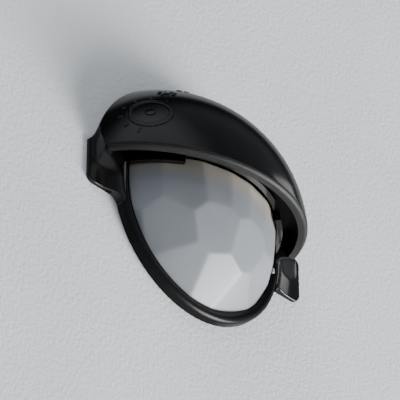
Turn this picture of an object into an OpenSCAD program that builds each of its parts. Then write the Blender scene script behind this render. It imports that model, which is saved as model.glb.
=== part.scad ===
// Hooded motion sensor for a luminaire panel or a thin wall, in millimetres.
// X runs right, Z runs up and the front faces -Y. The origin is on the panel face, midway between the ears.
// Sub-parts are drawn in the panel's own frame (x right, y up, z out of the panel) and turned upright at the end.

/* [Head] */
// Width over the two side ears
head_w = 84; // [83, 84, 90]
// Radius of the spherical hood, outside
hood_r = 42.8; // [42.4, 42.6, 42.8, 43, 43.2]
// Distance of the common centre of hood and lens behind the panel face
centre_depth = 14.5; // [13.5, 14.5, 15.5]
// Wall thickness of the hood
hood_wall = 2.8; // [2, 2.8, 3.4]
// Height of the hood's rim above the centre line, at the panel
rim_height = 4.3; // [4.2, 4.3, 5]
// Droop of the rim towards the front, in degrees
rim_tilt = 8; // [4, 8, 10]
// Radius of the round edge along the rim
rim_edge_r = 1.3; // [1.2, 1.3]

/* [Lens] */
// Radius of the lens ball, outside
lens_r = 33.8; // [33.4, 33.8, 34]
// Thickness of the lens skin between the facets
lens_wall = 2; // [1.8, 2, 2.2]
// Half the angle that one facet covers, in degrees
facet_reach = 15; // [13, 15]
// Outside radius of the bezel ring
bezel_r = 32.1; // [31.8, 32.1, 32.6]
// Height of the bezel ring above the panel
bezel_height = 3.3; // [3.2, 3.3, 3.6]

/* [Rear] */
// Radius of the plain shoulder that passes through the panel
neck_r = 27; // [26.8, 27, 27.2]
// Length of the housing behind the panel
neck_length = 38; // [36, 38, 44]
// Thickness of the panel that the nut clamps
panel_t = 3; // [1.5, 3, 6]

/* [Hidden] */
$fn = 96;
far = 60;

hood_inner_r = hood_r - hood_wall;
rim_offset = rim_height * cos(rim_tilt) + centre_depth * sin(rim_tilt);
mark_height = 0.4;
ear_x = head_w / 2 + 0.4;
ear_top = 5.8;
ear_bottom = -7.9;
ear_corner_r = 2.4;
ear_edge_t = 1.2;
ear_strip_w = 3;
ear_sweep_r = 15;
ear_fillet_r = 3;
ear_arc_r = 16;
ball_gap = 0.25;
ball_wall = 1.6;
brow_y = 2.8;
notch_w = 38.8;
notch_y = 6;
seat_r = 30.8;
flange_r = 30.6;
gasket_t = 0.7;
flange_t = 0.8;
lens_flange_t = 0.7;
lens_flange_z = gasket_t + flange_t + 0.1;
lip_z = lens_flange_z + lens_flange_t + 0.05;
lip_r = 29.6;
catch_x = 33.4;
catch_w = 8;
neck_wall = 2;
bay_r = neck_r - neck_wall;
thread_r = neck_r - 0.6;
shoulder_t = panel_t - 0.5;
collar_r = neck_r + 0.5;

board_r = 24.6;
board_t = 1.6;
sensor_board_z = -17;
power_board_z = -29;
spacer_r = 2;
spacer_place_r = 21.5;
spacer_angles = [45, 135, 225, 315];
knob_x = 10;
knob_y = 14;
knob_r = 3.6;
knob_length = 9;
trimmer_side = 7;
trimmer_h = 4;
stem_r = 1.5;
stem_gap = 0.05;
pyro_y = -3;
pyro_r = 4.6;
pyro_h = 4.4;
back_t = 2;
lever_pitch = 7.5;
lever_w = 5;
lever_hole_r = 1.6;
block_w = 25;
block_h = 11;
block_depth = 12;
block_y = -8;
nut_outer_r = 33;
nut_h = 6;
washer_t = 1.2;
nut_gap = 0.1;
nut_lugs = 8;
screw_place_r = 21;
screw_angles = [90, 210, 330];
screw_r = 0.95;
post_h = 7;

shell_black = [0.06, 0.06, 0.065];
lens_white = [0.86, 0.88, 0.9];
housing_grey = [0.32, 0.33, 0.35];
board_green = [0.05, 0.32, 0.17];
metal = [0.76, 0.76, 0.78];
brass = [0.8, 0.63, 0.3];
orange = [0.92, 0.42, 0.1];
rubber_black = [0.1, 0.1, 0.1];

// Turns the panel's frame upright: x right, y up, z out of the panel becomes X, Z, -Y.
module upright() {
  rotate([90, 0, 0]) children();
}

// Keeps what stands out of the panel, from a height of z.
module in_front_of(z = 0) {
  intersection() {
    children();
    translate([-far, -far, z]) cube([2 * far, 2 * far, far]);
  }
}

module disc(r, z0, z1) {
  translate([0, 0, z0]) cylinder(r = r, h = z1 - z0);
}

module ring(r_out, r_in, z0, z1) {
  difference() {
    disc(r_out, z0, z1);
    disc(r_in, z0 - 1, z1 + 1);
  }
}

// A ball about the common centre of hood and lens.
module ball(r) {
  translate([0, 0, -centre_depth]) sphere(r = r, $fn = 128);
}

// Places children on the ball of the hood: clock is the angle in the panel, tip the angle from straight out.
module on_hood(clock, tip) {
  translate([0, 0, -centre_depth])
    rotate([0, 0, clock])
      rotate([0, tip, 0])
        translate([0, 0, hood_r])
          children();
}

// ---- Front cover -------------------------------------------------------------------------------------------

// Half section of the hood, from the rim up to the pole, with the round edge along the rim.
module hood_section() {
  edge_y = rim_offset + rim_edge_r;
  edge_x = sqrt(pow(hood_r - rim_edge_r, 2) - pow(edge_y, 2));
  reach = hood_r / (hood_r - rim_edge_r);
  difference() {
    intersection() {
      circle(r = hood_r);
      translate([0, rim_offset]) square([far, far]);
    }
    circle(r = hood_inner_r);
    difference() {
      polygon([[edge_x, edge_y], [edge_x, rim_offset - 1], [far, rim_offset - 1],
               [far, edge_y * reach], [edge_x * reach, edge_y * reach]]);
      translate([edge_x, edge_y]) circle(r = rim_edge_r);
    }
  }
}

module hood() {
  in_front_of(0.2)
    translate([0, 0, -centre_depth])
      rotate([rim_tilt - 90, 0, 0])
        rotate_extrude() hood_section();
}

// Timer mark: a ring with a dot in it and a row of growing dots around it.
module timer_mark() {
  difference() {
    circle(r = 6.6);
    circle(r = 5.3);
  }
  circle(r = 1.5);
  for (i = [0 : 6])
    rotate(70 + i * 32) translate([9.2, 0]) circle(r = 0.45 + i * 0.11);
}

// Daylight mark: a disc with short rays.
module daylight_mark() {
  circle(r = 1.1);
  for (i = [0 : 7])
    rotate(i * 45) translate([1.7, -0.22]) square([1.1, 0.44]);
}

module dash_mark() {
  for (side = [-1, 1])
    translate([-0.4, side * 1.5 - 0.8]) square([0.8, 1.6]);
}

module raised_marks() {
  intersection() {
    ball(hood_r + mark_height);
    union() {
      on_hood(152, 52) translate([0, 0, -4]) linear_extrude(8) timer_mark();
      on_hood(128, 55) translate([0, 0, -1]) linear_extrude(3) daylight_mark();
      on_hood(110, 59) translate([0, 0, -1]) linear_extrude(3) dash_mark();
    }
  }
}

// Foot of the hood on the panel, and the arc above an ear that leaves the ear's corner and touches that foot.
hood_foot_r = sqrt(pow(hood_r, 2) - pow(centre_depth, 2));
arc_reach = hood_foot_r + ear_arc_r;
corner_reach = norm([ear_x, ear_top]);
arc_turn = atan2(ear_top, ear_x)
         + acos((pow(arc_reach, 2) + pow(corner_reach, 2) - pow(ear_arc_r, 2)) / (2 * arc_reach * corner_reach));

// Outline of both ears, each with a round lower corner and a hollow upper edge that runs into the hood.
module ear_outline() {
  for (side = [0, 1]) mirror([side, 0]) difference() {
    union() {
      translate([lip_r, ear_bottom + ear_corner_r])
        square([ear_x - lip_r, hood_foot_r * sin(arc_turn) - ear_bottom - ear_corner_r]);
      translate([lip_r, ear_bottom]) square([ear_x - ear_corner_r - lip_r, ear_corner_r + 1]);
      translate([ear_x - ear_corner_r, ear_bottom + ear_corner_r]) circle(r = ear_corner_r);
    }
    rotate(arc_turn) translate([arc_reach, 0]) circle(r = ear_arc_r);
  }
}

// Section of an ear: thin along its outer strip, then swept up in a hollow curve to height top at radius inner.
module ear_section(sweep_r, start, inner) {
  difference() {
    translate([inner, 0]) square([far - inner, ear_edge_t + sweep_r]);
    translate([start, ear_edge_t + sweep_r]) circle(r = sweep_r);
    translate([start, ear_edge_t]) square([far, far]);
  }
}

module ears() {
  sweep_start = ear_x - ear_strip_w;
  fillet_start = sqrt(pow(hood_r + ear_fillet_r, 2) - pow(ear_edge_t + centre_depth + ear_fillet_r, 2));
  intersection() {
    linear_extrude(far) ear_outline();
    union() {
      rotate_extrude() ear_section(ear_sweep_r, sweep_start, bezel_r);
      intersection() {
        rotate_extrude() ear_section(ear_fillet_r, fillet_start, hood_r - 4);
        translate([-far, brow_y, 0]) cube(2 * far);
      }
    }
  }
}

// Rounded ring around the lens, with the lip that holds the lens down.
module bezel() {
  crest_r = 1.5;
  rotate_extrude() difference() {
    union() {
      translate([seat_r, 0]) square([bezel_r - seat_r, bezel_height - crest_r]);
      translate([bezel_r - crest_r, bezel_height - crest_r]) circle(r = crest_r);
      translate([lip_r, lip_z]) square([bezel_r - crest_r - lip_r, bezel_height - lip_z]);
    }
    translate([0, -1]) square([seat_r, lip_z + 1]);
    translate([lip_r - 0.6, bezel_height + 0.5]) circle(r = 1.1);
  }
}

// Upper half of the ball: it closes the head above the lens and ends in a brow along the lens.
module brow() {
  difference() {
    in_front_of(0) difference() {
      ball(lens_r + ball_gap + ball_wall);
      ball(lens_r + ball_gap);
      translate([-far, brow_y - 2 * far, -far]) cube(2 * far);
    }
    translate([-notch_w / 2, brow_y - 1, 0]) cube([notch_w, notch_y - brow_y + 1, far]);
  }
}

// Flat web against the panel, between the brow and the hood.
module hood_web() {
  intersection() {
    ring(hood_r - 4, lens_r - 2.6, 0.2, 1.8);
    translate([-far, brow_y, 0]) cube(2 * far);
  }
}

module catch_pockets() {
  for (side = [0, 1]) mirror([side, 0])
    translate([bezel_r - 2, -catch_w / 2 - 0.3, -1])
      cube([catch_x + 0.3 - bezel_r + 2, catch_w + 0.6, lens_flange_z + 1]);
}

module front_cover() {
  color(shell_black) upright() difference() {
    union() {
      hood();
      raised_marks();
      ears();
      bezel();
      brow();
      hood_web();
    }
    catch_pockets();
    disc(seat_r, -1, lip_z);
  }
}

// ---- Lens --------------------------------------------------------------------------------------------------

// Rows of facets: [tilt up from straight out, turns to the side of one facet each]. Both sides are alike.
facet_rows = [[-1, [0, 13]],
              [-4, [30, 57]],
              [-21, [11.5]],
              [-28, [38, 68]],
              [-46, [0, 28]],
              [-52, [60]]];

module facet_cuts() {
  for (row = facet_rows, turn = row[1], side = [0, 1])
    mirror([side, 0])
      translate([0, 0, -centre_depth])
        rotate([0, turn, 0])
          rotate([-row[0], 0, 0])
            translate([0, 0, lens_r * cos(facet_reach)])
              cylinder(r = 11, h = 5);
}

// Room that the brow leaves for the lens: all below it, and the notch in its middle.
module lens_limits() {
  translate([-far, -2 * far + brow_y - 0.15, 0]) cube(2 * far);
  translate([-notch_w / 2 + 0.2, 0, 0]) cube([notch_w - 0.4, notch_y - 0.15, far]);
}

module lens() {
  color(lens_white) upright() {
    intersection() {
      difference() {
        in_front_of(lens_flange_z) difference() {
          ball(lens_r);
          ball(lens_r - lens_wall);
        }
        facet_cuts();
      }
      lens_limits();
    }
    ring(flange_r, lip_r - 0.6, lens_flange_z, lens_flange_z + lens_flange_t);
  }
}

// ---- Housing -----------------------------------------------------------------------------------------------

module wall_gasket() {
  color(rubber_black) upright() ring(flange_r, collar_r + 0.1, 0, gasket_t);
}

// Posts inside the neck that take the screws of the rear cover.
module screw_posts() {
  intersection() {
    for (a = screw_angles)
      rotate(a) translate([screw_place_r + 1.6, 0, 0]) disc(3, -neck_length, -neck_length + post_h);
    disc(bay_r + 1, -neck_length, 0);
  }
}

module rear_housing() {
  color(housing_grey) upright() difference() {
    union() {
      disc(thread_r, -neck_length, 0);
      disc(neck_r, -shoulder_t, 0);
      disc(collar_r, 0, gasket_t);
      disc(flange_r, gasket_t, gasket_t + flange_t);
      translate([-catch_x, -catch_w / 2, gasket_t]) cube([2 * catch_x, catch_w, flange_t]);
    }
    difference() {
      disc(bay_r, -neck_length - 1, gasket_t + flange_t + 1);
      screw_posts();
    }
    for (a = screw_angles)
      rotate(a) translate([screw_place_r, 0, 0]) disc(screw_r + 0.05, -neck_length - 1, -neck_length + post_h - 1);
  }
}

module rear_cover() {
  color(housing_grey) upright() difference() {
    disc(thread_r, -neck_length - back_t, -neck_length);
    translate([-block_w / 2 - 0.4, block_y - block_h / 2 - 0.4, -neck_length - back_t - 1])
      cube([block_w + 0.8, block_h + 0.8, back_t + 2]);
    for (a = screw_angles)
      rotate(a) translate([screw_place_r, 0, 0]) disc(1.4, -neck_length - back_t - 1, 0);
  }
}

module rear_screws() {
  head_z = -neck_length - back_t;
  color(metal) upright()
    for (a = screw_angles)
      rotate(a) translate([screw_place_r, 0, 0]) difference() {
        union() {
          disc(2.4, head_z - 1.8, head_z);
          disc(screw_r, head_z - 1, -neck_length + post_h - 2);
        }
        translate([-0.35, -3, head_z - 2.8]) cube([0.7, 6, 1.8]);
      }
}

module nut_washer() {
  color(metal) upright() ring(nut_outer_r - 1, thread_r + nut_gap, -panel_t - washer_t, -panel_t);
}

module clamp_nut() {
  front = -panel_t - washer_t;
  color(housing_grey) upright() difference() {
    union() {
      ring(nut_outer_r - 1.5, thread_r + nut_gap, front - nut_h, front);
      for (i = [0 : nut_lugs - 1])
        rotate(i * 360 / nut_lugs)
          translate([nut_outer_r - 3, -3, front - nut_h]) cube([3, 6, nut_h - 0.6]);
    }
    disc(thread_r + nut_gap, front - nut_h - 1, front + 1);
  }
}

// ---- Boards ------------------------------------------------------------------------------------------------

module board(z) {
  color(board_green) upright() difference() {
    disc(board_r, z - board_t, z);
    for (a = spacer_angles)
      rotate(a) translate([spacer_place_r, 0, 0]) disc(1.1, z - board_t - 1, z + 1);
  }
}

module sensor_board() {
  board(sensor_board_z);
}

module power_board() {
  board(power_board_z);
}

module board_spacers() {
  gap_top = sensor_board_z - board_t;
  color(metal) upright()
    for (a = spacer_angles)
      rotate(a) translate([spacer_place_r, 0, 0]) {
        disc(spacer_r, power_board_z, gap_top);
        disc(1, power_board_z - board_t - 0.8, sensor_board_z + 0.8);
      }
}

module board_header() {
  color(rubber_black) upright()
    translate([-6, 18, power_board_z]) cube([12, 2.5, sensor_board_z - board_t - power_board_z]);
}

module pyro_sensor() {
  color(metal) upright() translate([0, pyro_y, 0]) difference() {
    union() {
      disc(pyro_r, sensor_board_z, sensor_board_z + 0.8);
      disc(pyro_r - 0.5, sensor_board_z, sensor_board_z + pyro_h);
    }
    translate([-2, -1.5, sensor_board_z + pyro_h - 0.5]) cube([4, 3, 1]);
  }
}

module pyro_window() {
  color([0.25, 0.22, 0.3]) upright()
    translate([-2, pyro_y - 1.5, sensor_board_z + pyro_h - 0.5]) cube([4, 3, 0.4]);
}

module pyro_collar() {
  color(rubber_black) upright() translate([0, pyro_y, 0])
    ring(pyro_r + 1.4, pyro_r + 0.1, sensor_board_z, sensor_board_z + 2.6);
}

module indicator_led() {
  color([0.8, 0.12, 0.1, 0.8]) upright() translate([11, pyro_y - 6, sensor_board_z]) {
    disc(1.9, 0, 0.8);
    disc(1.5, 0, 3);
    translate([0, 0, 3]) sphere(r = 1.5);
  }
}

module light_sensor() {
  color([0.2, 0.2, 0.24]) upright()
    translate([-13, pyro_y - 8, sensor_board_z]) cube([4, 3, 1.6]);
}

module trimmer(side) {
  color([0.15, 0.25, 0.55]) upright() translate([side * knob_x, knob_y, 0]) difference() {
    translate([-trimmer_side / 2, -trimmer_side / 2, sensor_board_z])
      cube([trimmer_side, trimmer_side, trimmer_h]);
    disc(stem_r + stem_gap, sensor_board_z + 0.6, 0);
  }
}

module time_trimmer() {
  trimmer(-1);
}

module light_trimmer() {
  trimmer(1);
}

module knob(side) {
  foot = sensor_board_z + trimmer_h + 0.4;
  color(orange) upright() translate([side * knob_x, knob_y, 0]) difference() {
    union() {
      disc(stem_r, sensor_board_z + 0.9, foot + 1);
      disc(knob_r, foot, foot + knob_length);
      for (i = [0 : 11])
        rotate(i * 30) translate([knob_r - 0.3, -0.4, foot]) cube([0.8, 0.8, knob_length - 1]);
    }
    translate([-0.5, -knob_r - 1, foot + knob_length - 1.2]) cube([1, knob_r + 1, 2]);
  }
}

module time_knob() {
  knob(-1);
}

module light_knob() {
  knob(1);
}

module control_chip() {
  back = sensor_board_z - board_t;
  color(rubber_black) upright() {
    translate([-5, -12, back - 1.6]) cube([10, 4, 1.6]);
    for (i = [0 : 6])
      for (y = [-13, -8])
        translate([-4.3 + i * 1.35, y, back - 0.4]) cube([0.5, 1, 0.4]);
  }
}

module relay() {
  color([0.12, 0.14, 0.18]) upright()
    translate([-18, 1, power_board_z]) cube([19, 10, 9.5]);
}

module film_capacitor() {
  color([0.82, 0.66, 0.16]) upright()
    translate([5, -1, power_board_z]) cube([13, 6, 9]);
}

module storage_capacitor() {
  color([0.14, 0.2, 0.36]) upright() translate([9, 11, power_board_z]) {
    disc(4, 0, 9);
    ring(4.2, 3.6, 0, 0.8);
  }
}

module varistor() {
  color([0.2, 0.3, 0.62]) upright()
    translate([10, -9, power_board_z + 4.4]) rotate([90, 0, 0]) translate([0, 0, -1.2])
      cylinder(r = 4, h = 2.4);
}

module fuse() {
  color([0.9, 0.9, 0.86]) upright()
    translate([-12, -9, power_board_z + 2.6]) rotate([0, 90, 0]) cylinder(r = 2.2, h = 12);
}

// ---- Terminals ---------------------------------------------------------------------------------------------

block_front = power_board_z - board_t;
lever_z = -neck_length - back_t;
lever_y = block_y + 1.2;
wire_y = block_y - 3;
wire_hole_depth = 9;

// Three wire holes at the back, each ends in a pocket that is open towards the board and holds its clamp.
module terminal_block() {
  bottom = block_front - block_depth;
  color(housing_grey) upright() difference() {
    translate([-block_w / 2, block_y - block_h / 2, bottom]) cube([block_w, block_h, block_depth]);
    for (i = [-1 : 1]) translate([i * lever_pitch, 0, 0]) {
      translate([0, wire_y, 0]) disc(lever_hole_r, bottom - 1, bottom + wire_hole_depth + 0.5);
      translate([-2.6, wire_y - 2.1, bottom + wire_hole_depth]) cube([5.2, 6.2, block_depth]);
      translate([-lever_w / 2 - 0.2, lever_y - 2.2, bottom - 1])
        cube([lever_w + 0.4, block_h, lever_z + 2.2 - bottom + 1]);
    }
  }
}

module wire_clamps() {
  color(brass) upright()
    for (i = [-1 : 1])
      translate([i * lever_pitch - 2.4, wire_y - 2, block_front - 2.8]) cube([4.8, 6, 2.6]);
}

module lever(i) {
  color(orange) upright() translate([i * lever_pitch, lever_y, lever_z]) {
    rotate([0, 90, 0]) cylinder(r = 1.9, h = lever_w, center = true);
    translate([-lever_w / 2, 0, -1.9]) cube([lever_w, 7.2, 1.8]);
  }
}

module lever_live() {
  lever(-1);
}

module lever_neutral() {
  lever(0);
}

module lever_load() {
  lever(1);
}

front_cover();
lens();
wall_gasket();
rear_housing();
rear_cover();
rear_screws();
nut_washer();
clamp_nut();
sensor_board();
power_board();
board_spacers();
board_header();
pyro_sensor();
pyro_window();
pyro_collar();
indicator_led();
light_sensor();
time_trimmer();
light_trimmer();
time_knob();
light_knob();
control_chip();
relay();
film_capacitor();
storage_capacitor();
varistor();
fuse();
terminal_block();
wire_clamps();
lever_live();
lever_neutral();
lever_load();
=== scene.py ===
# %% [markdown]
# # A hooded motion sensor
# A passive-infrared sensor head for a wall or a luminaire panel. A glossy black cover carries a half-ball
# hood over a milky lens of many facets. Two thin ears at the sides serve as finger grips: the cover pulls
# off and leaves the detector, the adjusters and the boards in the neck behind the panel.
#
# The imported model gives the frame. Every new piece takes its sizes from it and rides on one of its bodies.

import math

import bmesh
import bpy
from mathutils import Matrix, Vector


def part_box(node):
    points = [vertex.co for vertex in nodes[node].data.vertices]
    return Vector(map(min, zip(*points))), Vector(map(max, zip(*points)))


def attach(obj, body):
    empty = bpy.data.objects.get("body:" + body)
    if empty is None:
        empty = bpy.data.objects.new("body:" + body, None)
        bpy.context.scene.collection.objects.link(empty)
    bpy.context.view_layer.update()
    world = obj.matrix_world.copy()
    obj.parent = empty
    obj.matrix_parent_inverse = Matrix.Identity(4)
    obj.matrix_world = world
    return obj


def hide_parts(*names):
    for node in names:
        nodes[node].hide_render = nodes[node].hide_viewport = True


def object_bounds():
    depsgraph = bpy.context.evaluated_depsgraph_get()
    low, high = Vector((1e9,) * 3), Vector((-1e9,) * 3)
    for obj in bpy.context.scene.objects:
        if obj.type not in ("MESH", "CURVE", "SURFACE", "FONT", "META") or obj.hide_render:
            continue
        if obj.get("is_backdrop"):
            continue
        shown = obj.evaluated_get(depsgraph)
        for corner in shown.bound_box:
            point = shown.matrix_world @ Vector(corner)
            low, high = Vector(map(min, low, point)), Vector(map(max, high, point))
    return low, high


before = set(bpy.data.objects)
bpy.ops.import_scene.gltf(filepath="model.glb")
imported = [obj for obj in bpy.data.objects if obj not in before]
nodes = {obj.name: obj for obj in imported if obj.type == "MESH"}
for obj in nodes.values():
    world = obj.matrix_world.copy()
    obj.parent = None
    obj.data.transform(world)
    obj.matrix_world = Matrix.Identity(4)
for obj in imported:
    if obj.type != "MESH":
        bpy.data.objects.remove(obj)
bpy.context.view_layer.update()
MM = 0.001

# %% [markdown]
# ## Driving sizes
# Hood and lens are parts of two balls with one common centre behind the panel. The rim plane of the hood
# droops a little towards the front, as a real visor does to shade the lens from the sky.

# %% Sizes
cover_low, cover_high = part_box("front_cover")
ear_x = cover_high.x
bezel_r = -cover_low.z
centre = Vector((0, 14.5 * MM, 0))
hood_r = 42.8 * MM
hood_wall = 2.8 * MM
rim_height = 4.3 * MM
rim_tilt = math.radians(8)
lens_r = 33.8 * MM
brow_z = 2.8 * MM
notch_x = 19.4 * MM
notch_z = 6.0 * MM
flange_top = 1.6 * MM
catch_half = 6.2 * MM
catch_end = 34.0 * MM
print("ear", round(ear_x / MM, 2), "bezel", round(bezel_r / MM, 2))

# %% [markdown]
# ## Material tools
# A moulded surface is never one flat colour: it has a fine grain that breaks up reflections, slow drifts of
# gloss where fingers and rain have been, and slightly paler worn edges. These short helpers build the grain
# and the drifts of gloss from object coordinates, so that a finish stays on its piece when the piece moves.


# %% Node helpers
class Finish:
    """A node material with a principled shader, and short calls for the nodes around it."""

    def __init__(self, name):
        self.material = bpy.data.materials.new(name)
        self.material.use_nodes = True
        self.tree = self.material.node_tree
        self.shader = self.tree.nodes["Principled BSDF"]
        self.place = self.node("ShaderNodeTexCoord").outputs["Object"]

    def node(self, kind, **settings):
        made = self.tree.nodes.new(kind)
        for key, value in settings.items():
            setattr(made, key, value)
        return made

    def link(self, start, end):
        self.tree.links.new(start, end)

    def set(self, **values):
        for key, value in values.items():
            self.shader.inputs[key.replace("_", " ")].default_value = value
        return self

    def noise(self, scale, detail=4.0, roughness=0.55, distortion=0.0):
        made = self.node("ShaderNodeTexNoise")
        made.inputs["Scale"].default_value = scale
        made.inputs["Detail"].default_value = detail
        made.inputs["Roughness"].default_value = roughness
        made.inputs["Distortion"].default_value = distortion
        self.link(self.place, made.inputs["Vector"])
        return made.outputs["Fac"]

    def spots(self, scale):
        made = self.node("ShaderNodeTexVoronoi")
        made.inputs["Scale"].default_value = scale
        self.link(self.place, made.inputs["Vector"])
        return made.outputs["Distance"]

    def ramp(self, value, stops):
        made = self.node("ShaderNodeValToRGB")
        while len(made.color_ramp.elements) < len(stops):
            made.color_ramp.elements.new(0.5)
        for element, (position, colour) in zip(made.color_ramp.elements, stops):
            element.position = position
            element.color = (*colour, 1) if len(colour) == 3 else colour
        self.link(value, made.inputs["Fac"])
        return made.outputs["Color"]

    def span(self, value, low, high):
        made = self.node("ShaderNodeMapRange")
        made.inputs["To Min"].default_value = low
        made.inputs["To Max"].default_value = high
        self.link(value, made.inputs["Value"])
        return made.outputs["Result"]

    def bump(self, value, height, strength=1.0, after=None):
        made = self.node("ShaderNodeBump")
        made.inputs["Strength"].default_value = strength
        made.inputs["Distance"].default_value = height
        self.link(value, made.inputs["Height"])
        if after is not None:
            self.link(after, made.inputs["Normal"])
        return made.outputs["Normal"]

    def feed(self, socket, value):
        self.link(value, self.shader.inputs[socket])
        return self


# %% [markdown]
# ## Finishes of the head
# The cover is gloss black moulding compound: nearly mirror-smooth with a faint orange-peel, fine dust and a
# little haze. The lens is thin white polyethylene, which scatters light inside and has a satin skin.


# %% Gloss black
def gloss_black(name, rough=0.12, spread=0.06):
    f = Finish(name)
    haze = f.noise(180, 6, 0.6)
    grain = f.noise(2600, 3)
    f.feed("Base Color", f.ramp(haze, [(0.3, (0.003, 0.003, 0.0032)), (0.75, (0.006, 0.006, 0.0066))]))
    f.feed("Roughness", f.span(haze, rough, rough + spread))
    f.feed("Normal", f.bump(grain, 0.00001, 0.35, f.bump(f.noise(70, 2), 0.0002, 0.25)))
    f.set(IOR=1.46)
    return f.material


# %% Matte rim
def rim_grey(name, dark, pale, rough):
    f = Finish(name)
    specks = f.spots(900)
    tone = f.noise(400, 5)
    mixed = f.node("ShaderNodeMix", data_type="RGBA")
    f.link(f.ramp(specks, [(0.0, (1, 1, 1)), (0.05, (0, 0, 0))]), mixed.inputs["Factor"])
    f.link(f.ramp(tone, [(0.3, (dark,) * 3), (0.7, (pale,) * 3)]), mixed.inputs["A"])
    mixed.inputs["B"].default_value = (0.25, 0.25, 0.25, 1)
    f.link(mixed.outputs["Result"], f.shader.inputs["Base Color"])
    f.feed("Roughness", f.span(tone, rough, rough + 0.12))
    f.feed("Normal", f.bump(f.noise(3000, 4), 0.00004, 0.6))
    return f.material


# %% Milky lens
def milky():
    f = Finish("milky_lens")
    cloud = f.noise(60, 4)
    # Painted light: from a little below its middle height upwards the lens is painted paler and warmer, as if
    # lit from above.
    split = f.node("ShaderNodeSeparateXYZ")
    f.link(f.place, split.inputs["Vector"])
    height = f.node("ShaderNodeMapRange")
    height.inputs["From Min"].default_value = -0.0008
    height.inputs["From Max"].default_value = 0.003
    f.link(split.outputs["Z"], height.inputs["Value"])
    upper_painted_light = f.node("ShaderNodeMix", data_type="RGBA")
    f.link(height.outputs["Result"], upper_painted_light.inputs["Factor"])
    f.link(f.ramp(cloud, [(0.3, (0.225, 0.24, 0.265)), (0.7, (0.26, 0.275, 0.295))]), upper_painted_light.inputs["A"])
    upper_painted_light.inputs["B"].default_value = (0.33, 0.305, 0.27, 1)
    f.link(upper_painted_light.outputs["Result"], f.shader.inputs["Base Color"])
    f.feed("Roughness", f.span(f.noise(500, 5), 0.28, 0.38))
    f.feed("Normal", f.bump(f.noise(1800, 4), 0.00002, 0.4))
    f.set(IOR=1.45, Subsurface_Weight=0.15, Subsurface_Scale=0.004)
    f.shader.inputs["Subsurface Radius"].default_value = (1.0, 1.0, 1.15)
    return f.material


# %% [markdown]
# ## Plain finishes for the rest
# Dark grained plastics, metals, lacquers and resins. Each takes its grain size, sheen and tone from a few
# numbers.


# %% Plain finishes
def grained(name, dark, pale, rough=(0.4, 0.55), grain=1600, height=0.00004, metallic=0.0):
    f = Finish(name)
    tone = f.noise(120, 5)
    f.feed("Base Color", f.ramp(tone, [(0.3, dark), (0.7, pale)]))
    f.feed("Roughness", f.span(f.noise(300, 4), *rough))
    f.feed("Normal", f.bump(f.noise(grain, 4), height, 0.6))
    f.set(Metallic=metallic)
    return f.material


def dulled(material, level):
    """Lowers the mirror share of a finish."""
    material.node_tree.nodes["Principled BSDF"].inputs["Specular IOR Level"].default_value = level
    return material


finishes = {
    "housing": grained("housing_grey", (0.045, 0.047, 0.05), (0.06, 0.062, 0.066), (0.42, 0.58)),
    "rubber": grained("seal_rubber", (0.012, 0.012, 0.012), (0.02, 0.02, 0.02), (0.7, 0.85), 2400),
    "board": grained("board_green", (0.004, 0.09, 0.035), (0.008, 0.13, 0.05), (0.25, 0.35), 900, 0.00001),
    "steel": grained("zinc_steel", (0.55, 0.55, 0.57), (0.7, 0.7, 0.72), (0.25, 0.4), 2200, 0.00001, 1.0),
    "can": grained("nickel_can", (0.62, 0.61, 0.58), (0.72, 0.71, 0.68), (0.18, 0.3), 1500, 0.00001, 1.0),
    "brass": grained("bare_brass", (0.62, 0.42, 0.16), (0.72, 0.52, 0.22), (0.25, 0.4), 1800, 0.00001, 1.0),
    "matte": grained("matte_black", (0.015, 0.015, 0.016), (0.025, 0.025, 0.026), (0.5, 0.65), 2600),
    "orange": grained("orange_plastic", (0.62, 0.13, 0.012), (0.72, 0.17, 0.02), (0.3, 0.42), 2200, 0.00002),
    "blue": grained("trimmer_blue", (0.012, 0.05, 0.26), (0.02, 0.07, 0.32), (0.35, 0.5), 2200, 0.00002),
    "yellow": grained("film_yellow", (0.55, 0.33, 0.03), (0.65, 0.4, 0.05), (0.4, 0.5), 2000, 0.00002),
    "sleeve": grained("capacitor_sleeve", (0.01, 0.02, 0.07), (0.02, 0.03, 0.1), (0.25, 0.35), 900, 0.00002),
    "ceramic": grained("ceramic_white", (0.62, 0.60, 0.54), (0.72, 0.70, 0.64), (0.45, 0.6), 2000, 0.00002),
    "relay": grained("relay_case", (0.012, 0.015, 0.03), (0.02, 0.024, 0.045), (0.25, 0.35), 1800, 0.00002),
    "filter": grained("infrared_filter", (0.02, 0.012, 0.035), (0.03, 0.018, 0.05), (0.08, 0.15), 900,
                      0.000005),
    "red": grained("red_resin", (0.5, 0.01, 0.008), (0.6, 0.02, 0.012), (0.12, 0.2), 900, 0.000005),
}
node_finish = {
    "wall_gasket": "rubber", "rear_housing": "housing", "rear_cover": "housing", "rear_screws": "steel",
    "nut_washer": "steel", "clamp_nut": "housing", "sensor_board": "board", "power_board": "board",
    "board_spacers": "brass", "board_header": "matte", "pyro_sensor": "can", "pyro_window": "filter",
    "pyro_collar": "matte", "indicator_led": "red", "light_sensor": "filter", "time_trimmer": "blue",
    "light_trimmer": "blue", "time_knob": "orange", "light_knob": "orange", "control_chip": "matte",
    "relay": "relay", "film_capacitor": "yellow", "storage_capacitor": "sleeve", "varistor": "blue",
    "fuse": "ceramic", "terminal_block": "housing", "wire_clamps": "brass", "lever_live": "orange",
    "lever_neutral": "orange", "lever_load": "orange",
}
for node_name, finish_name in node_finish.items():
    mesh = nodes[node_name].data
    mesh.materials.clear()
    mesh.materials.append(finishes[finish_name])
black = gloss_black("gloss_black")
bezel_black = dulled(gloss_black("bezel_black", 0.26, 0.1), 0.18)
rim_face = rim_grey("rim_face", 0.004, 0.009, 0.5)
rim_edge = dulled(rim_grey("rim_edge", 0.006, 0.012, 0.45), 0.3)
inner_black = dulled(grained("inner_black", (0.002,) * 3, (0.004,) * 3, (0.6, 0.75), 2200, 0.00003), 0.15)
lens_finish = milky()
print("finishes", len(bpy.data.materials))

# %% [markdown]
# ## Mesh tools


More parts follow.
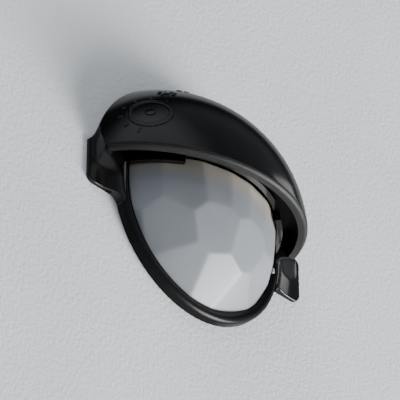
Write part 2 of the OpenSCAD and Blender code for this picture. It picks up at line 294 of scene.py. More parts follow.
# %% Mesh helpers
def to_object(bm, name, *materials, smooth=40):
    mesh = bpy.data.meshes.new(name)
    bm.to_mesh(mesh)
    bm.free()
    for material in materials:
        mesh.materials.append(material)
    obj = bpy.data.objects.new(name, mesh)
    bpy.context.scene.collection.objects.link(obj)
    mesh.shade_smooth()
    mesh.set_sharp_from_angle(angle=math.radians(smooth))
    return obj


def spin_section(bm, points, axis, cent, steps, angle=2 * math.pi):
    """Spins a closed section about an axis into a closed skin."""
    verts = [bm.verts.new(p) for p in points]
    edges = [bm.edges.new((a, b)) for a, b in zip(verts, verts[1:] + verts[:1])]
    full = abs(angle - 2 * math.pi) < 1e-6
    bmesh.ops.spin(bm, geom=verts + edges, cent=cent, axis=axis, angle=angle, steps=steps,
                   use_merge=full, use_duplicate=False)
    bmesh.ops.remove_doubles(bm, verts=bm.verts, dist=1e-7)
    bmesh.ops.recalc_face_normals(bm, faces=bm.faces)


def arc(cx, cy, r, start, end, count):
    """Points of an arc from start to end, in degrees."""
    step = (end - start) / count
    return [(cx + r * math.cos(math.radians(start + i * step)),
             cy + r * math.sin(math.radians(start + i * step))) for i in range(count + 1)]


def cut(bm, point, normal, fill=True):
    """Takes away what lies on the side that the normal points to."""
    geom = bm.verts[:] + bm.edges[:] + bm.faces[:]
    done = bmesh.ops.bisect_plane(bm, geom=geom, plane_co=point, plane_no=normal, clear_outer=True)
    if fill:
        edges = [e for e in done["geom_cut"] if isinstance(e, bmesh.types.BMEdge)]
        bmesh.ops.holes_fill(bm, edges=edges)


# %% [markdown]
# ## Hood
# The visor is a slice of a ball, spun about the axis that stands square on its rim plane. The rim has a
# flat face and a round outer edge. On the real part that flat face is left matte by the mould, with fine
# specks.

# %% Hood
rim_offset = rim_height * math.cos(rim_tilt) + centre.y * math.sin(rim_tilt)
edge_r = 1.3 * MM
inner_r = hood_r - hood_wall
rim_axis = Vector((0, -math.sin(rim_tilt), math.cos(rim_tilt)))
rim_side = Vector((1, 0, 0))


def section_point(distance, height):
    return centre + rim_side * distance + rim_axis * height


edge_h = rim_offset + edge_r
edge_d = math.sqrt((hood_r - edge_r) ** 2 - edge_h**2)
edge_turn = math.degrees(math.atan2(edge_h, edge_d))
outline = arc(edge_d, edge_h, edge_r, -90, edge_turn, 10)
outline += arc(0, 0, hood_r, edge_turn, 90, 56)[1:]
start_turn = math.degrees(math.asin(rim_offset / inner_r))
outline += arc(0, 0, inner_r, 90, start_turn, 48)
bm = bmesh.new()
spin_section(bm, [section_point(*p) for p in outline], rim_axis, centre, 192)
cut(bm, Vector((0, -0.2 * MM, 0)), Vector((0, 1, 0)))
bmesh.ops.recalc_face_normals(bm, faces=bm.faces)
for face in bm.faces:
    level = (face.calc_center_median() - centre).dot(rim_axis)
    reach = (face.calc_center_median() - centre).length
    if reach < inner_r + 0.02 * MM:
        face.material_index = 3
    elif level < rim_offset + 0.02 * MM:
        face.material_index = 1
    elif level < edge_h:
        face.material_index = 2
hood = to_object(bm, "hood_shell", black, rim_face, rim_edge, inner_black)
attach(hood, "cover")
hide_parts("front_cover")
print("hood faces", len(hood.data.polygons))

# %% [markdown]
# ## Lens
# Each facet is a small, gently bulged lens that looks at its own patch of the room. The facets stand in
# rows on the ball, wider apart towards the sides. Where two meet the mould leaves a soft edge, so the
# surface is a soft minimum of the ball and all the facets, worked out point by point on a grid about the
# pole.

# %% Lens
facet_rows = [(-1, (0, 13)), (-4, (30, 57)), (-21, (11.5,)), (-28, (38, 68)), (-46, (0, 28)), (-52, (60,))]
facet_reach = math.radians(15)
facet_depth = lens_r * math.cos(facet_reach)


def facet_directions():
    for lat, lons in facet_rows:
        for lon in lons:
            for side in (1, -1) if lon else (1,):
                a, b = math.radians(lon * side), math.radians(lat)
                yield Vector((math.cos(b) * math.sin(a), -math.cos(b) * math.cos(a), math.sin(b)))


facets = list(facet_directions())
edge_soft = 0.08 * MM
facet_bulge = 0.78


def lens_reach(direction):
    """How far the lens reaches along a direction: a soft minimum of the ball and the bulge of each facet."""
    total = 1.0
    for facet in facets:
        facing = direction.dot(facet)
        if facing > 0.8:
            total += math.exp((lens_r - facet_depth / facing**facet_bulge) / edge_soft)
    return lens_r - edge_soft * math.log(total)


rings, spokes = 110, 320
open_angle = math.acos((centre.y + 2.75 * MM) / lens_r)
bm = bmesh.new()
front = Vector((0, -1, 0))
pole = bm.verts.new(centre + front * lens_reach(front))
last = None
for i in range(1, rings + 1):
    tip = open_angle * i / rings
    row = []
    for j in range(spokes):
        turn = 2 * math.pi * j / spokes
        direction = Vector((math.sin(tip) * math.cos(turn), -math.cos(tip), math.sin(tip) * math.sin(turn)))
        row.append(bm.verts.new(centre + direction * lens_reach(direction)))
    for j in range(spokes):
        k = (j + 1) % spokes
        bm.faces.new((last[j], last[k], row[k], row[j]) if last else (pole, row[k], row[j]))
    last = row
bmesh.ops.recalc_face_normals(bm, faces=bm.faces)
cut(bm, Vector((0, 0, notch_z - 0.15 * MM)), Vector((0, 0, 1)), fill=False)
lens = to_object(bm, "lens_dome", lens_finish, smooth=50)
thick = lens.modifiers.new("thickness", "SOLIDIFY")
thick.thickness = 0.9 * MM
thick.offset = -1
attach(lens, "cover")
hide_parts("lens")
print("lens faces", len(lens.data.polygons))

# The moulding keeps one small tab at the rim of the lens, where the plastic ran in.
bm = bmesh.new()
tab_turn = math.radians(-8)
tab_place = Matrix.Translation((29.2 * MM, -2.9 * MM, -3.9 * MM)) @ Matrix.Rotation(tab_turn, 4, "Y")
tab_size = Matrix.Diagonal((1.0 * MM, 1.1 * MM, 1.7 * MM, 1))
bmesh.ops.create_cube(bm, size=1, matrix=tab_place @ tab_size)
bmesh.ops.bevel(bm, geom=bm.edges[:], affect="EDGES", offset=0.3 * MM, segments=3, profile=0.5, material=-1)
tab = to_object(bm, "lens_tab", lens_finish)
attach(tab, "cover")

# %% [markdown]
# ## Bezel
# The ring under the lens has a round crest, a fine groove inside it and a lip that holds the lens down.

# %% Bezel
lip_r = 29.5 * MM
crest_r = 1.5 * MM
bezel_h = 3.3 * MM


def panel_point(r, n):
    return Vector((r, -n, 0))


ring = [(30.8 * MM, 0), (bezel_r, 0)]
ring += arc(bezel_r - crest_r, bezel_h - crest_r, crest_r, 0, 90, 10)
ring += arc(lip_r + 0.35 * MM, bezel_h - 0.75 * MM, 0.35 * MM, 90, 180, 5)
ring += [(lip_r, 2.35 * MM), (30.8 * MM, 2.35 * MM)]
bm = bmesh.new()
spin_section(bm, [panel_point(*p) for p in ring], Vector((0, -1, 0)), Vector(), 160)
for vert in bm.verts:
    if abs(vert.co.z) < catch_half and vert.co.y > -flange_top:
        vert.co.y = -flange_top
bmesh.ops.recalc_face_normals(bm, faces=bm.faces)
bezel = to_object(bm, "bezel_ring", bezel_black)
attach(bezel, "cover")
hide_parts("front_cover")

# %% [markdown]
# ## Side ears
# An ear is a thin strip on the wall that sweeps up in a hollow curve to the crest of the bezel. It is drawn
# as a grid over its outline: columns run outwards, and the height of each point follows from its distance
# to the axis. Where the ear passes the hood, a small fillet climbs the ball, so that both read as one
# moulding.

# %% Ear
strip_t = 1.2 * MM
strip_start = 39.4 * MM
sweep_r = 15.5 * MM
ear_top = 5.8 * MM
ear_low = 7.9 * MM
corner_r = 2.4 * MM
low_fillet = 3.5 * MM
top_sweep = 16 * MM
climb_r = 3.0 * MM
wall_gap = 0.02 * MM


def fillet_centre(circle_r, level, r):
    """Sideways place of a fillet of radius r between a circle about the origin and a level line."""
    return math.sqrt((circle_r + r) ** 2 - (level + r) ** 2)


low_x = fillet_centre(bezel_r, ear_low, low_fillet)
low_start = low_x * bezel_r / (bezel_r + low_fillet)
hood_foot = math.sqrt(hood_r**2 - centre.y**2)
climb_x = fillet_centre(hood_r, strip_t + centre.y, climb_r)
climb_touch = climb_x * hood_r / (hood_r + climb_r)

# The upper edge of an ear is an arc that leaves the ear's corner and touches the foot of the hood.
corner_reach = math.hypot(ear_x, ear_top)
arc_reach = hood_foot + top_sweep
arc_turn = math.acos((arc_reach**2 + corner_reach**2 - top_sweep**2) / (2 * arc_reach * corner_reach))
arc_turn += math.atan2(ear_top, ear_x)
arc_x, arc_z = arc_reach * math.cos(arc_turn), arc_reach * math.sin(arc_turn)
touch_x = hood_foot * math.cos(arc_turn)
touch_z = hood_foot * math.sin(arc_turn)


def smooth_step(start, stop, value):
    share = max(0, min(1, (value - start) / (stop - start)))
    return share * share * (3 - 2 * share)


def ear_bottom(x):
    if x < low_x:
        return -ear_low - low_fillet + math.sqrt(low_fillet**2 - (low_x - x) ** 2)
    past = max(0, x - ear_x + corner_r)
    return -ear_low + corner_r - math.sqrt(max(0, corner_r**2 - past**2))


def ear_height_limit(x):
    return arc_z - math.sqrt(top_sweep**2 - (arc_x - max(x, touch_x)) ** 2)


def ear_surface(x, z):
    r = math.hypot(x, z)
    inward = max(0, strip_start - r)
    thin = 1 - 0.85 * smooth_step(ear_top, touch_z, z)
    height = min(bezel_h, strip_t * thin + sweep_r - math.sqrt(sweep_r**2 - inward**2))
    if r < climb_touch:
        fillet = min(bezel_h, math.sqrt(hood_r**2 - r * r) - centre.y - 0.15 * MM)
    else:
        climb = max(0, climb_x - r)
        fillet = strip_t * thin + climb_r - math.sqrt(climb_r**2 - climb**2)
    return height + smooth_step(-2 * MM, 4.2 * MM, z) * max(0, fillet - height)


def ear_floor(x, z):
    """The underside of an ear lies on the wall, but clears the flange and the catch of the housing."""
    r = math.hypot(x, z)
    clear = r < bezel_r - 1.0 * MM or (r < catch_end and abs(z) < catch_half)
    return flange_top if clear else wall_gap


def ear(side):
    across, along = 56, 48
    bm = bmesh.new()
    upper, lower = [], []
    for i in range(across + 1):
        x = low_start + (ear_x - low_start) * math.sin(0.5 * math.pi * i / across)
        start = ear_bottom(x)
        stop = ear_height_limit(x)
        upper.append([])
        lower.append([])
        for j in range(along + 1):
            z = start + (stop - start) * j / along
            upper[-1].append(bm.verts.new((side * x, -ear_surface(x, z), z)))
            lower[-1].append(bm.verts.new((side * x, -ear_floor(x, z), z)))
    for grid in (upper, lower):
        for i in range(across):
            for j in range(along):
                bm.faces.new((grid[i][j], grid[i + 1][j], grid[i + 1][j + 1], grid[i][j + 1]))
    for i in range(across):
        for j in (0, along):
            bm.faces.new((upper[i][j], upper[i + 1][j], lower[i + 1][j], lower[i][j]))
    for j in range(along):
        for i in (0, across):
            bm.faces.new((upper[i][j], upper[i][j + 1], lower[i][j + 1], lower[i][j]))
    bmesh.ops.recalc_face_normals(bm, faces=bm.faces)
    edge = [upper[i][0] for i in range(across + 1)] + upper[across] + [row[along] for row in upper[::-1]]
    rim = {e for a, b in zip(edge, edge[1:]) for e in a.link_edges if e.other_vert(a) is b}
    bmesh.ops.bevel(bm, geom=list(rim), affect="EDGES", offset=0.3 * MM, segments=3, profile=0.5, material=-1)
    made = to_object(bm, "ear_left" if side < 0 else "ear_right", black)
    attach(made, "cover")
    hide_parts("front_cover")
    return made


ears = [ear(-1), ear(1)]
print("ear faces", len(ears[0].data.polygons))

# %% [markdown]
# ## Brow
# Under the hood a second, thinner ball closes the head above the lens. Its lower edge is the brow along the
# top of the lens, with a wide notch in the middle where the lens reaches higher.

# %% Brow
brow_in = lens_r + 0.25 * MM
brow_out = brow_in + 1.6 * MM
up_axis = Vector((0, 0, 1))


def ball_band(bm, low, high, start, turn, steps):
    """A band of the brow's ball between two heights, turned about the upright axis from a start angle."""
    def point(r, z):
        flat = math.sqrt(max(0, r * r - z * z))
        return centre + Vector((flat * math.cos(start), flat * math.sin(start), z))
    rows = 20
    heights = [low + (high - low) * i / rows for i in range(rows + 1)]
    outside = [point(brow_out, z) for z in heights]
    inside = [point(brow_in, z) for z in heights[::-1]]
    spin_section(bm, outside + inside, up_axis, centre, steps, turn)
    if turn < 6:
        holes = [e for e in bm.edges if e.is_boundary]
        bmesh.ops.holes_fill(bm, edges=holes)
    cut(bm, Vector((0, -flange_top, 0)), Vector((0, 1, 0)))
    bmesh.ops.recalc_face_normals(bm, faces=bm.faces)


notch_turn = math.asin(notch_x / brow_out)
side_turn = math.radians(78) - notch_turn
for name, low, high, start, turn, steps in (
        ("brow_dome", notch_z, brow_in * 0.999, 0, 2 * math.pi, 128),
        ("brow_left", brow_z, notch_z, -math.pi / 2 - notch_turn - side_turn, side_turn, 32),
        ("brow_right", brow_z, notch_z, -math.pi / 2 + notch_turn, side_turn, 32)):
    bm = bmesh.new()
    ball_band(bm, low, high, start, turn, steps)
    made = to_object(bm, name, black)
    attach(made, "cover")
    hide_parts("front_cover")

# %% [markdown]
# ## Raised marks
# Three small marks stand out of the hood by less than half a millimetre: a plain ring with growing ticks, a
# daylight mark and a dash mark. Each is laid out flat and then wrapped onto the ball.

# %% Raised marks
mark_lift = 0.3 * MM
mark_root = -0.3 * MM


def on_hood(clock, tip, u, v, lift):
    """A point of a mark: clock is its place around the head and tip its angle from straight out."""
    a, b = math.radians(clock), math.radians(tip)
    r = hood_r + lift
    out = math.sqrt(r * r - u * u - v * v)
    lean = u * math.cos(b) + out * math.sin(b)
    return centre + Vector((lean * math.cos(a) - v * math.sin(a), u * math.sin(b) - out * math.cos(b),
                            lean * math.sin(a) + v * math.cos(a)))


def circle_points(u, v, r, count):
    return [(u + r * math.cos(2 * math.pi * i / count), v + r * math.sin(2 * math.pi * i / count))
            for i in range(count)]


def stud(bm, clock, tip, outline, hole=None):
    """Raises an outline, or the band between an outline and its hole, and rounds its top edges."""
    loops = [outline] + ([hole] if hole else [])
    tops = [[bm.verts.new(on_hood(clock, tip, u, v, mark_lift)) for u, v in loop] for loop in loops]
    roots = [[bm.verts.new(on_hood(clock, tip, u, v, mark_root)) for u, v in loop] for loop in loops]
    count = len(outline)
    edges = []
    for top, root in zip(tops, roots):
        for i in range(count):
            k = (i + 1) % count
            bm.faces.new((top[i], top[k], root[k], root[i]))
            edges.append(bm.edges.get((top[i], top[k])))
    if hole:
        for top in (tops, roots):
            for i in range(count):
                k = (i + 1) % count
                bm.faces.new((top[0][i], top[0][k], top[1][k], top[1][i]))
    else:
        bm.faces.new(tops[0])
        bm.faces.new(roots[0])
    bmesh.ops.bevel(bm, geom=edges, affect="EDGES", offset=0.15 * MM, segments=2, profile=0.5, material=-1)


def bar(u, v, length, width, turn=0):
    c, s = math.cos(turn), math.sin(turn)
    corners = ((-1, -1), (1, -1), (1, 1), (-1, 1))
    return [(u + c * i * length / 2 - s * k * width / 2, v + s * i * length / 2 + c * k * width / 2)
            for i, k in corners]


bm = bmesh.new()
stud(bm, 152, 52, circle_points(0, 0, 6.6 * MM, 72), circle_points(0, 0, 5.3 * MM, 72))
stud(bm, 152, 52, circle_points(0, 0, 1.5 * MM, 32))
for i in range(7):
    turn = math.radians(-104 + i * 32)
    length = (0.8 + i * 0.15) * MM
    place = 7.6 * MM + length / 2
    stud(bm, 152, 52, bar(place * math.cos(turn), place * math.sin(turn), length, 0.6 * MM, turn))
stud(bm, 128, 55, circle_points(0, 0, 1.1 * MM, 28))
for i in range(8):
    turn = math.pi / 4 * i
    stud(bm, 128, 55, bar(2.25 * MM * math.cos(turn), 2.25 * MM * math.sin(turn), 1.1 * MM, 0.44 * MM, turn))
for side in (-1, 1):
    stud(bm, 110, 59, bar(0, side * 1.5 * MM, 0.8 * MM, 1.6 * MM))
bmesh.ops.recalc_face_normals(bm, faces=bm.faces)
marks = to_object(bm, "hood_marks", black)
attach(marks, "cover")
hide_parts("front_cover")
print("mark faces", len(marks.data.polygons))

# %% [markdown]
# ## Turned and refined pieces
# Round parts are turned: a closed section of radius and height, with soft corners, spun about its own axis.
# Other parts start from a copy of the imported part: its triangles are merged, flat faces joined again and
# every hard edge given the small radius that a mould or a die always leaves.


# %% Piece helpers
def soften(points, r):
    """Rounds each corner of a closed section with a short curve."""
    count = len(points)
    soft = []
    for i, point in enumerate(points):
        p = Vector(point)
        before = Vector(points[i - 1]) - p
        after = Vector(points[(i + 1) % count]) - p
        if p.x < 1e-6:
            soft.append(tuple(p))
            continue
        a = p + before.normalized() * min(r, before.length * 0.45)
        b = p + after.normalized() * min(r, after.length * 0.45)
        soft += [tuple(a), tuple(a * 0.25 + p * 0.5 + b * 0.25), tuple(b)]
    return soft


def placed(obj, body, node=None):
    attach(obj, body)
    if node:
        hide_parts(node)
    return obj


def turned(name, section, material, body="housing", node=None, at=(0, 0), soft=0.15, steps=96):
    """Spins a section of (radius, height in front of the panel), in mm, about an axis square to the panel."""
    x, z = at[0] * MM, at[1] * MM
    bm = bmesh.new()
    points = [Vector((x + r * MM, -n * MM, z)) for r, n in soften(section, soft)]
    spin_section(bm, points, Vector((0, -1, 0)), Vector((x, 0, z)), steps)
    bmesh.ops.delete(bm, geom=[e for e in bm.edges if not e.link_faces], context="EDGES")
    bmesh.ops.recalc_face_normals(bm, faces=bm.faces)
    return placed(to_object(bm, name, material, smooth=50), body, node)


def round_hard_edges(bm, radius, angle=32, segments=2):
    hard = [e for e in bm.edges if len(e.link_faces) == 2 and e.calc_face_angle(0) > math.radians(angle)]
    bmesh.ops.bevel(bm, geom=hard, affect="EDGES", offset=radius * MM, segments=segments, profile=0.5,
                    material=-1, clamp_overlap=True)


def refined(node, material, body="housing", radius=0.2, angle=32):
    """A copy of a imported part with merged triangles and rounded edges."""
    bm = bmesh.new()
    bm.from_mesh(nodes[node].data)
    bm.transform(nodes[node].matrix_world)
    bmesh.ops.remove_doubles(bm, verts=bm.verts, dist=1e-6)
    bmesh.ops.dissolve_limit(bm, angle_limit=math.radians(0.5), verts=bm.verts, edges=bm.edges)
    round_hard_edges(bm, radius, angle)
    bmesh.ops.triangulate(bm, faces=[f for f in bm.faces if len(f.verts) > 4])
    return placed(to_object(bm, node + "_refined", material), body, node)


def block(bm, low, high, radius=0.15):
    """A soft-edged block between two corners, in mm of the panel's frame: x, up, out."""
    size = Vector(high) - Vector(low)
    mid = (Vector(high) + Vector(low)) / 2
    matrix = Matrix.Translation((mid.x * MM, -mid.z * MM, mid.y * MM))
    matrix = matrix @ Matrix.Diagonal((size.x * MM, size.z * MM, size.y * MM, 1))
    made = bmesh.ops.create_cube(bm, size=1, matrix=matrix)
    edges = {e for v in made["verts"] for e in v.link_edges}
    bmesh.ops.bevel(bm, geom=list(edges), affect="EDGES", offset=radius * MM, segments=2, profile=0.5,
                    material=-1)


# %% [markdown]
# ## Housing behind the panel
# The neck is one moulding: a flange that carries the gasket, a plain shoulder that sits in the panel and a
# coarse thread of 3 mm pitch for the ring nut. The thread is real here: its height follows the turn and the
# depth.

# %% Housing
neck_r, thread_r, bay_r = 27.0, 26.4, 25.0
flange_r = 30.6
shoulder_end, neck_end = -2.5, -38.0
pitch, thread_depth = 3.0, 0.9


def thread_height(turn, n):
    phase = (n / pitch - turn / (2 * math.pi)) % 1
    flank = abs(phase - 0.5) * 2
    ridge = max(0, min(1, (0.72 - flank) / 0.34))
    ends = max(0, min(1, (shoulder_end - 0.6 - n) / 1.5, (n - neck_end - 0.6) / 1.5))
    return thread_r - thread_depth + thread_depth * ridge * ends


turned("housing_flange", [(bay_r, shoulder_end), (neck_r, shoulder_end), (neck_r, 0), (27.5, 0), (27.5, 0.7),
                          (flange_r, 0.7), (flange_r, 1.5), (26.2, 1.5), (bay_r, 1.1)],
       finishes["housing"], node="rear_housing", soft=0.12, steps=128)
bm = bmesh.new()
turns, rows = 180, 142
grid = []
for k in range(rows + 1):
    n = shoulder_end + (neck_end - shoulder_end) * k / rows
    grid.append([])
    for j in range(turns):
        a = 2 * math.pi * j / turns
        r = thread_height(a, n) * MM
        grid[-1].append(bm.verts.new((r * math.cos(a), -n * MM, r * math.sin(a))))
for n in (neck_end, shoulder_end):
    grid.append([bm.verts.new((bay_r * MM * math.cos(2 * math.pi * j / turns), -n * MM,
                               bay_r * MM * math.sin(2 * math.pi * j / turns))) for j in range(turns)])
for lower, upper in zip(grid, grid[1:] + grid[:1]):
    for j in range(turns):
        k = (j + 1) % turns
        bm.faces.new((lower[j], lower[k], upper[k], upper[j]))
bmesh.ops.recalc_face_normals(bm, faces=bm.faces)
placed(to_object(bm, "housing_neck", finishes["housing"]), "housing", "rear_housing")

catch_reach = nodes["rear_housing"].dimensions.x / 2 / MM
post_r, post_h, post_ring, post_depth = 2.6, 7, 22.2, 34.5
bm = bmesh.new()
for side in (-1, 1):
    x = sorted((side * (flange_r - 1), side * catch_reach))
    block(bm, (x[0], -4, 0.72), (x[1], 4, 1.44), 0.2)
for turn in (90, 210, 330):
    a = math.radians(turn)
    made = bmesh.ops.create_cone(bm, cap_ends=True, segments=32, radius1=post_r * MM, radius2=post_r * MM,
                                 depth=post_h * MM)
    place = Vector((post_ring * math.cos(a), post_depth, post_ring * math.sin(a))) * MM
    bmesh.ops.transform(bm, matrix=Matrix.Translation(place) @ Matrix.Rotation(math.pi / 2, 4, "X"),
                        verts=made["verts"])
bmesh.ops.recalc_face_normals(bm, faces=bm.faces)
placed(to_object(bm, "housing_catches_and_posts", finishes["housing"]), "housing", "rear_housing")

turned("gasket_ribbed", [(27.6, 0.05), (28.2, 0), (28.8, 0.12), (29.4, 0), (30.0, 0.12), (30.55, 0.02),
                         (30.6, 0.6), (30.4, 0.7), (27.8, 0.7), (27.6, 0.6)],
       finishes["rubber"], node="wall_gasket", soft=0.1, steps=128)
refined("rear_cover", finishes["housing"], radius=0.35)
refined("rear_screws", finishes["steel"], radius=0.25)
refined("nut_washer", finishes["steel"], "washer", 0.2)
refined("clamp_nut", finishes["housing"], "nut", 0.45)
refined("terminal_block", finishes["matte"], radius=0.25)
refined("wire_clamps", finishes["brass"], radius=0.2)
for name in ("lever_live", "lever_neutral", "lever_load"):
    refined(name, finishes["orange"], name, 0.4)

# %% [markdown]
# ## Boards
# Both boards are round, with green solder mask, tinned joints and small parts. The parts that matter have
# their own shape: a nickel can with its dark window, two trimmers with knobs, a red lamp, a relay and the
# mains parts.


# %% Boards
def mask_green():
    f = Finish("solder_mask")
    tracks = f.node("ShaderNodeTexBrick")
    tracks.inputs["Scale"].default_value = 260
    tracks.inputs["Mortar Size"].default_value = 0.03
    tracks.inputs["Color1"].default_value = (0.004, 0.085, 0.03, 1)
    tracks.inputs["Color2"].default_value = (0.006, 0.105, 0.04, 1)
    tracks.inputs["Mortar"].default_value = (0.012, 0.16, 0.06, 1)
    turn = f.node("ShaderNodeMapping")
    turn.inputs["Rotation"].default_value = (math.pi / 2, 0, 0)
    f.link(f.place, turn.inputs["Vector"])
    f.link(turn.outputs["Vector"], tracks.inputs["Vector"])
    f.link(tracks.outputs["Color"], f.shader.inputs["Base Color"])
    f.feed("Roughness", f.span(f.noise(260, 4), 0.22, 0.36))
    f.feed("Normal", f.bump(tracks.outputs["Fac"], 0.00006, 0.5, f.bump(f.noise(1500, 3), 0.00001, 0.3)))
    return f.material


def striped_sleeve():
    f = Finish("striped_sleeve")
    split = f.node("ShaderNodeSeparateXYZ")
    f.link(f.place, split.inputs["Vector"])
    edge = f.node("ShaderNodeMapRange")
    edge.inputs["From Min"].default_value = 0.0059
    edge.inputs["From Max"].default_value = 0.0060
    f.link(split.outputs["X"], edge.inputs["Value"])
    stripe, sleeve = (0.45, 0.46, 0.48), (0.012, 0.02, 0.07)
    f.feed("Base Color", f.ramp(edge.outputs["Result"], [(0.2, stripe), (0.8, sleeve)]))
    f.feed("Roughness", f.span(f.noise(500, 4), 0.25, 0.38))
    f.feed("Normal", f.bump(f.noise(900, 3), 0.00002, 0.4))
    return f.material


mask = mask_green()
for name in ("sensor_board", "power_board"):
    refined(name, mask, radius=0.12)
front_n, power_n, board_t = -17.0, -29.0, 1.6
refined("control_chip", finishes["matte"], radius=0.15)
refined("board_header", finishes["matte"], radius=0.2)
refined("board_spacers", finishes["brass"], radius=0.15)
refined("pyro_sensor", finishes["can"], radius=0.3)
refined("pyro_collar", finishes["matte"], radius=0.3)
refined("light_sensor", finishes["filter"], radius=0.3)
refined("time_trimmer", finishes["blue"], radius=0.3)
refined("light_trimmer", finishes["blue"], radius=0.3)
refined("time_knob", finishes["orange"], "time_knob", 0.06)
refined("light_knob", finishes["orange"], "light_knob", 0.06)
refined("relay", finishes["relay"], radius=0.5)
refined("film_capacitor", finishes["yellow"], radius=0.7)

lamp = [(0, 0), (1.9, 0), (1.9, 0.8), (1.5, 0.8), (1.5, 3.0), (1.37, 3.62), (0.96, 4.15), (0.4, 4.44),
        (0, 4.5)]
turned("lamp", [(r, front_n + n) for r, n in lamp], finishes["red"], node="indicator_led", at=(11, -9),
       soft=0.1, steps=48)
tin = [(0, 0), (4.0, 0), (4.2, 0.4), (4.0, 0.9), (3.75, 1.1), (4.0, 1.4), (4.0, 8.6), (3.6, 9.0), (3.3, 8.9),
       (3.1, 8.7), (0, 8.7)]
turned("storage_can", [(r, power_n + n) for r, n in tin], striped_sleeve(), node="storage_capacitor",
       at=(9, 11), soft=0.12, steps=64)

# %% Mains parts
bm = bmesh.new()
disc_rows = [(0, -1.2), (3.2, -1.15), (3.8, -0.8), (4.0, 0), (3.8, 0.8), (3.2, 1.15), (0, 1.2)]
middle = Vector((10 * MM, -(power_n + 4.4) * MM, -9 * MM))
disc_points = [middle + Vector((r * MM, 0, n * MM)) for r, n in soften(disc_rows, 0.2)]
spin_section(bm, disc_points, up_axis, middle, 56)
bmesh.ops.delete(bm, geom=[e for e in bm.edges if not e.link_faces], context="EDGES")
placed(to_object(bm, "varistor_disc", finishes["blue"], smooth=60), "housing", "varistor")

tube_mid = Vector((-6 * MM, -(power_n + 2.6) * MM, -9 * MM))
along_x = Vector((1, 0, 0))
for name, section, finish in (
        ("fuse_tube", [(0, -5), (1.9, -5), (1.9, 5), (0, 5)], "ceramic"),
        ("fuse_cap_left", [(0, -6), (2.2, -6), (2.2, -3.2), (1.95, -3.0), (0, -3.0)], "can"),
        ("fuse_cap_right", [(0, 3.0), (1.95, 3.0), (2.2, 3.2), (2.2, 6), (0, 6)], "can")):
    bm = bmesh.new()
    points = [tube_mid + Vector((n * MM, 0, max(0.0, r) * MM)) for r, n in soften(section, 0.25)]
    spin_section(bm, points, along_x, tube_mid, 40)
    bmesh.ops.delete(bm, geom=[e for e in bm.edges if not e.link_faces], context="EDGES")
    placed(to_object(bm, name, finishes[finish], smooth=50), "housing", "fuse")

# %% Solder joints and chip parts
header_pins = [(-5, 19), (0, 19), (5, 19)]
power_pins = [(-17, 3), (-17, 9), (-2, 2), (-2, 10), (6, 2), (17, 2), (7, 11), (11, 11), (8, -9), (12, -9),
              (-12, -9), (0, -9)]
front_pins = [(-10, 11), (-10, 17), (10, 11), (10, 17), (-2, -3), (2, -3), (0, -6), (10, -9), (12, -9)]
solder_r, solder_flat = 0.75 * MM, 0.55
bm = bmesh.new()
for board_n, pins in ((power_n, power_pins), (front_n, front_pins)):
    for x, level in pins + header_pins:
        made = bmesh.ops.create_uvsphere(bm, u_segments=14, v_segments=8, radius=solder_r)
        squeeze = Matrix.Translation((x * MM, (board_t - board_n) * MM, level * MM))
        squeeze = squeeze @ Matrix.Diagonal((1, solder_flat, 1, 1))
        bmesh.ops.transform(bm, matrix=squeeze, verts=made["verts"])
placed(to_object(bm, "solder_joints", finishes["steel"], smooth=60), "housing")
chip_places = [(-18, 2), (-15, 5.5), (-19, -4), (17, 1), (18, 5), (-4, -15), (0, -16.5), (5, -14.5),
               (-9, -18)]
chip_half, end_half, chip_top, end_top = 1.0, 0.25, front_n + 0.6, front_n + 0.65
bodies, ends = bmesh.new(), bmesh.new()
for x, level in chip_places:
    block(bodies, (x - chip_half, level - 0.55, front_n), (x + chip_half, level + 0.55, chip_top), 0.12)
    for side in (-1, 1):
        end_x = x + side * 1.1
        block(ends, (end_x - end_half, level - 0.6, front_n), (end_x + end_half, level + 0.6, end_top), 0.1)
placed(to_object(bodies, "chip_parts", finishes["matte"]), "housing")
placed(to_object(ends, "chip_ends", finishes["steel"]), "housing")

# %% [markdown]
# ## Wall, floor and light
# The sensor stands on a pale, finely textured wall. The wall is not drawn from behind, so that the neck can
# be seen.


# %% Stage
def wall_finish():
    f = Finish("textured_wall")
    grain = f.noise(780, 3, 0.55, 0.3)
    f.feed("Base Color", f.ramp(f.noise(25, 3), [(0.3, (0.645, 0.665, 0.685)), (0.7, (0.69, 0.71, 0.73))]))
    f.feed("Normal", f.bump(grain, 0.0006, 0.5))
    f.set(Roughness=0.6)
    clear = f.node("ShaderNodeBsdfTransparent")
    mix = f.node("ShaderNodeMixShader")
    f.link(f.node("ShaderNodeNewGeometry").outputs["Backfacing"], mix.inputs["Fac"])
    f.link(f.shader.outputs["BSDF"], mix.inputs[1])
    f.link(clear.outputs["BSDF"], mix.inputs[2])
    f.link(mix.outputs["Shader"], f.tree.nodes["Material Output"].inputs["Surface"])
    return f.material


def sheet_object(name, size, matrix, material):
    bm = bmesh.new()
    bmesh.ops.create_grid(bm, x_segments=1, y_segments=1, size=size)
    bmesh.ops.transform(bm, matrix=matrix, verts=bm.verts)
    obj = to_object(bm, name, material)
    obj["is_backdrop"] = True
    return obj


def pierced_wall(hole_r, reach, depth, steps=96):
    """A round sheet with the mounting hole in it, facing the room."""
    bm = bmesh.new()
    inner, outer = ([bm.verts.new((r * math.cos(a), depth, r * math.sin(a)))
                     for a in (2 * math.pi * i / steps for i in range(steps))] for r in (hole_r, reach))
    for i in range(steps):
        k = (i + 1) % steps
        bm.faces.new((inner[i], outer[i], outer[k], inner[k]))
    bm.normal_update()
    if bm.faces[:][0].normal.y > 0:
        bmesh.ops.reverse_faces(bm, faces=bm.faces)
    obj = to_object(bm, "wall", wall_finish())
    obj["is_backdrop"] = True
    return obj


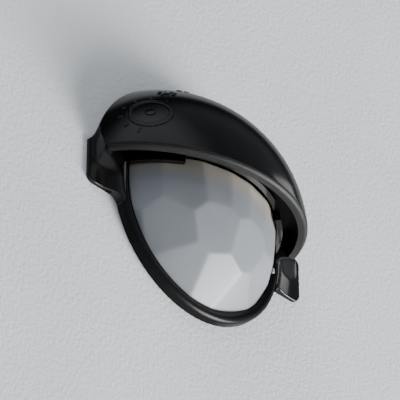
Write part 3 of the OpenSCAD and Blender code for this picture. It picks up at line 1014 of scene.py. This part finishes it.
# Glossy parts mirror the studio and not the wall, so that the outline of the hood stays crisp.
wall = pierced_wall(28 * MM, 1.7, 0.05 * MM)
wall.visible_glossy = False
floor = sheet_object("floor", 6, Matrix.Translation((0, 0, -1.2)),
                     grained("pale_floor", (0.7, 0.7, 0.69), (0.76, 0.76, 0.75), (0.6, 0.7), 40))
floor.visible_diffuse = False


def area_light(name, place, target, size, power, colour=(1, 1, 1)):
    data = bpy.data.lights.new(name, "AREA")
    data.shape = "RECTANGLE"
    data.size, data.size_y = size
    data.energy = power
    data.color = colour
    obj = bpy.data.objects.new(name, data)
    bpy.context.scene.collection.objects.link(obj)
    obj.location = place
    obj.rotation_euler = (Vector(target) - Vector(place)).to_track_quat("-Z", "Y").to_euler()
    return obj


area_light("key", (1.12, -0.56, -0.86), (0, 0, 0), (0.9, 0.9), 66, (1, 0.985, 0.97))
area_light("window", (1.14, -0.36, 0.84), (0, 0, 0), (0.6, 0.3), 0.8)
area_light("fill", (-0.7, -0.55, 1.25), (0, 0, 0), (0.9, 0.9), 11, (0.95, 0.97, 1)).visible_glossy = False
area_light("back", (0.6, 1.6, 0.8), (0, 0.02, 0), (1.2, 1.2), 45).visible_glossy = False


# %% Studio
def studio_world():
    """A soft studio by direction: pale at the upper left and lower right, dim at the lower left,
    dark at the upper right and mid grey behind the wall."""
    made = bpy.data.worlds.new("studio")
    made.use_nodes = True
    tree = made.node_tree

    def step(value, start, stop, first, last):
        ramp = tree.nodes.new("ShaderNodeMapRange")
        ramp.interpolation_type = "SMOOTHSTEP"
        for key, number in (("From Min", start), ("From Max", stop), ("To Min", first), ("To Max", last)):
            ramp.inputs[key].default_value = number
        tree.links.new(value, ramp.inputs["Value"])
        return ramp.outputs["Result"]

    def join(kind, a, b):
        made = tree.nodes.new("ShaderNodeMath")
        made.operation = kind
        for socket, value in zip(made.inputs, (a, b)):
            if isinstance(value, float):
                socket.default_value = value
            else:
                tree.links.new(value, socket)
        return made.outputs["Value"]

    parts = tree.nodes.new("ShaderNodeSeparateXYZ")
    tree.links.new(tree.nodes.new("ShaderNodeTexCoord").outputs["Generated"], parts.inputs["Vector"])
    x, y, z = (parts.outputs[axis] for axis in "XYZ")
    room = step(y, -0.2, 0.12, 1, 0)
    low = join("MULTIPLY", step(z, 0.1, 0.5, 1, 0), step(x, -0.4, 0.4, 0.22, 0.6))
    left = join("MULTIPLY", step(x, -0.35, 0.05, 0.54, 0), step(z, 0.0, 0.4, 0.1, 1))
    slant = join("ADD", y, join("MULTIPLY", x, 0.2))
    behind = step(slant, 0.24, 0.36, 0, 0.38)
    front = join("MULTIPLY", room, join("ADD", left, 0.15))
    total = join("ADD", join("ADD", front, low), behind)
    light = tree.nodes["Background"]
    light.inputs["Color"].default_value = (0.9, 0.95, 1.0, 1)
    tree.links.new(total, light.inputs["Strength"])
    return made


bpy.context.scene.world = studio_world()

# %% Camera
azimuth, elevation = math.radians(-46.4), math.radians(-35.2)
right = Vector((math.cos(azimuth), math.sin(azimuth), 0))
away = Vector((math.sin(azimuth) * math.cos(elevation), -math.cos(azimuth) * math.cos(elevation),
               math.sin(elevation)))
up = away.cross(right)
frame_w = 112 * MM
aim_right, aim_up = 1.68 * MM, 5.88 * MM
aim = right * aim_right + up * aim_up
camera_data = bpy.data.cameras.new("camera")
camera_data.lens = 300
camera_data.sensor_width = 36
distance = frame_w * camera_data.lens / camera_data.sensor_width
camera = bpy.data.objects.new("camera", camera_data)
bpy.context.scene.collection.objects.link(camera)
camera.matrix_world = Matrix((
    (right.x, up.x, away.x, aim.x + away.x * distance),
    (right.y, up.y, away.y, aim.y + away.y * distance),
    (right.z, up.z, away.z, aim.z + away.z * distance),
    (0, 0, 0, 1),
))
bpy.context.scene.camera = camera

# %% Sizes of the built object
low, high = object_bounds()
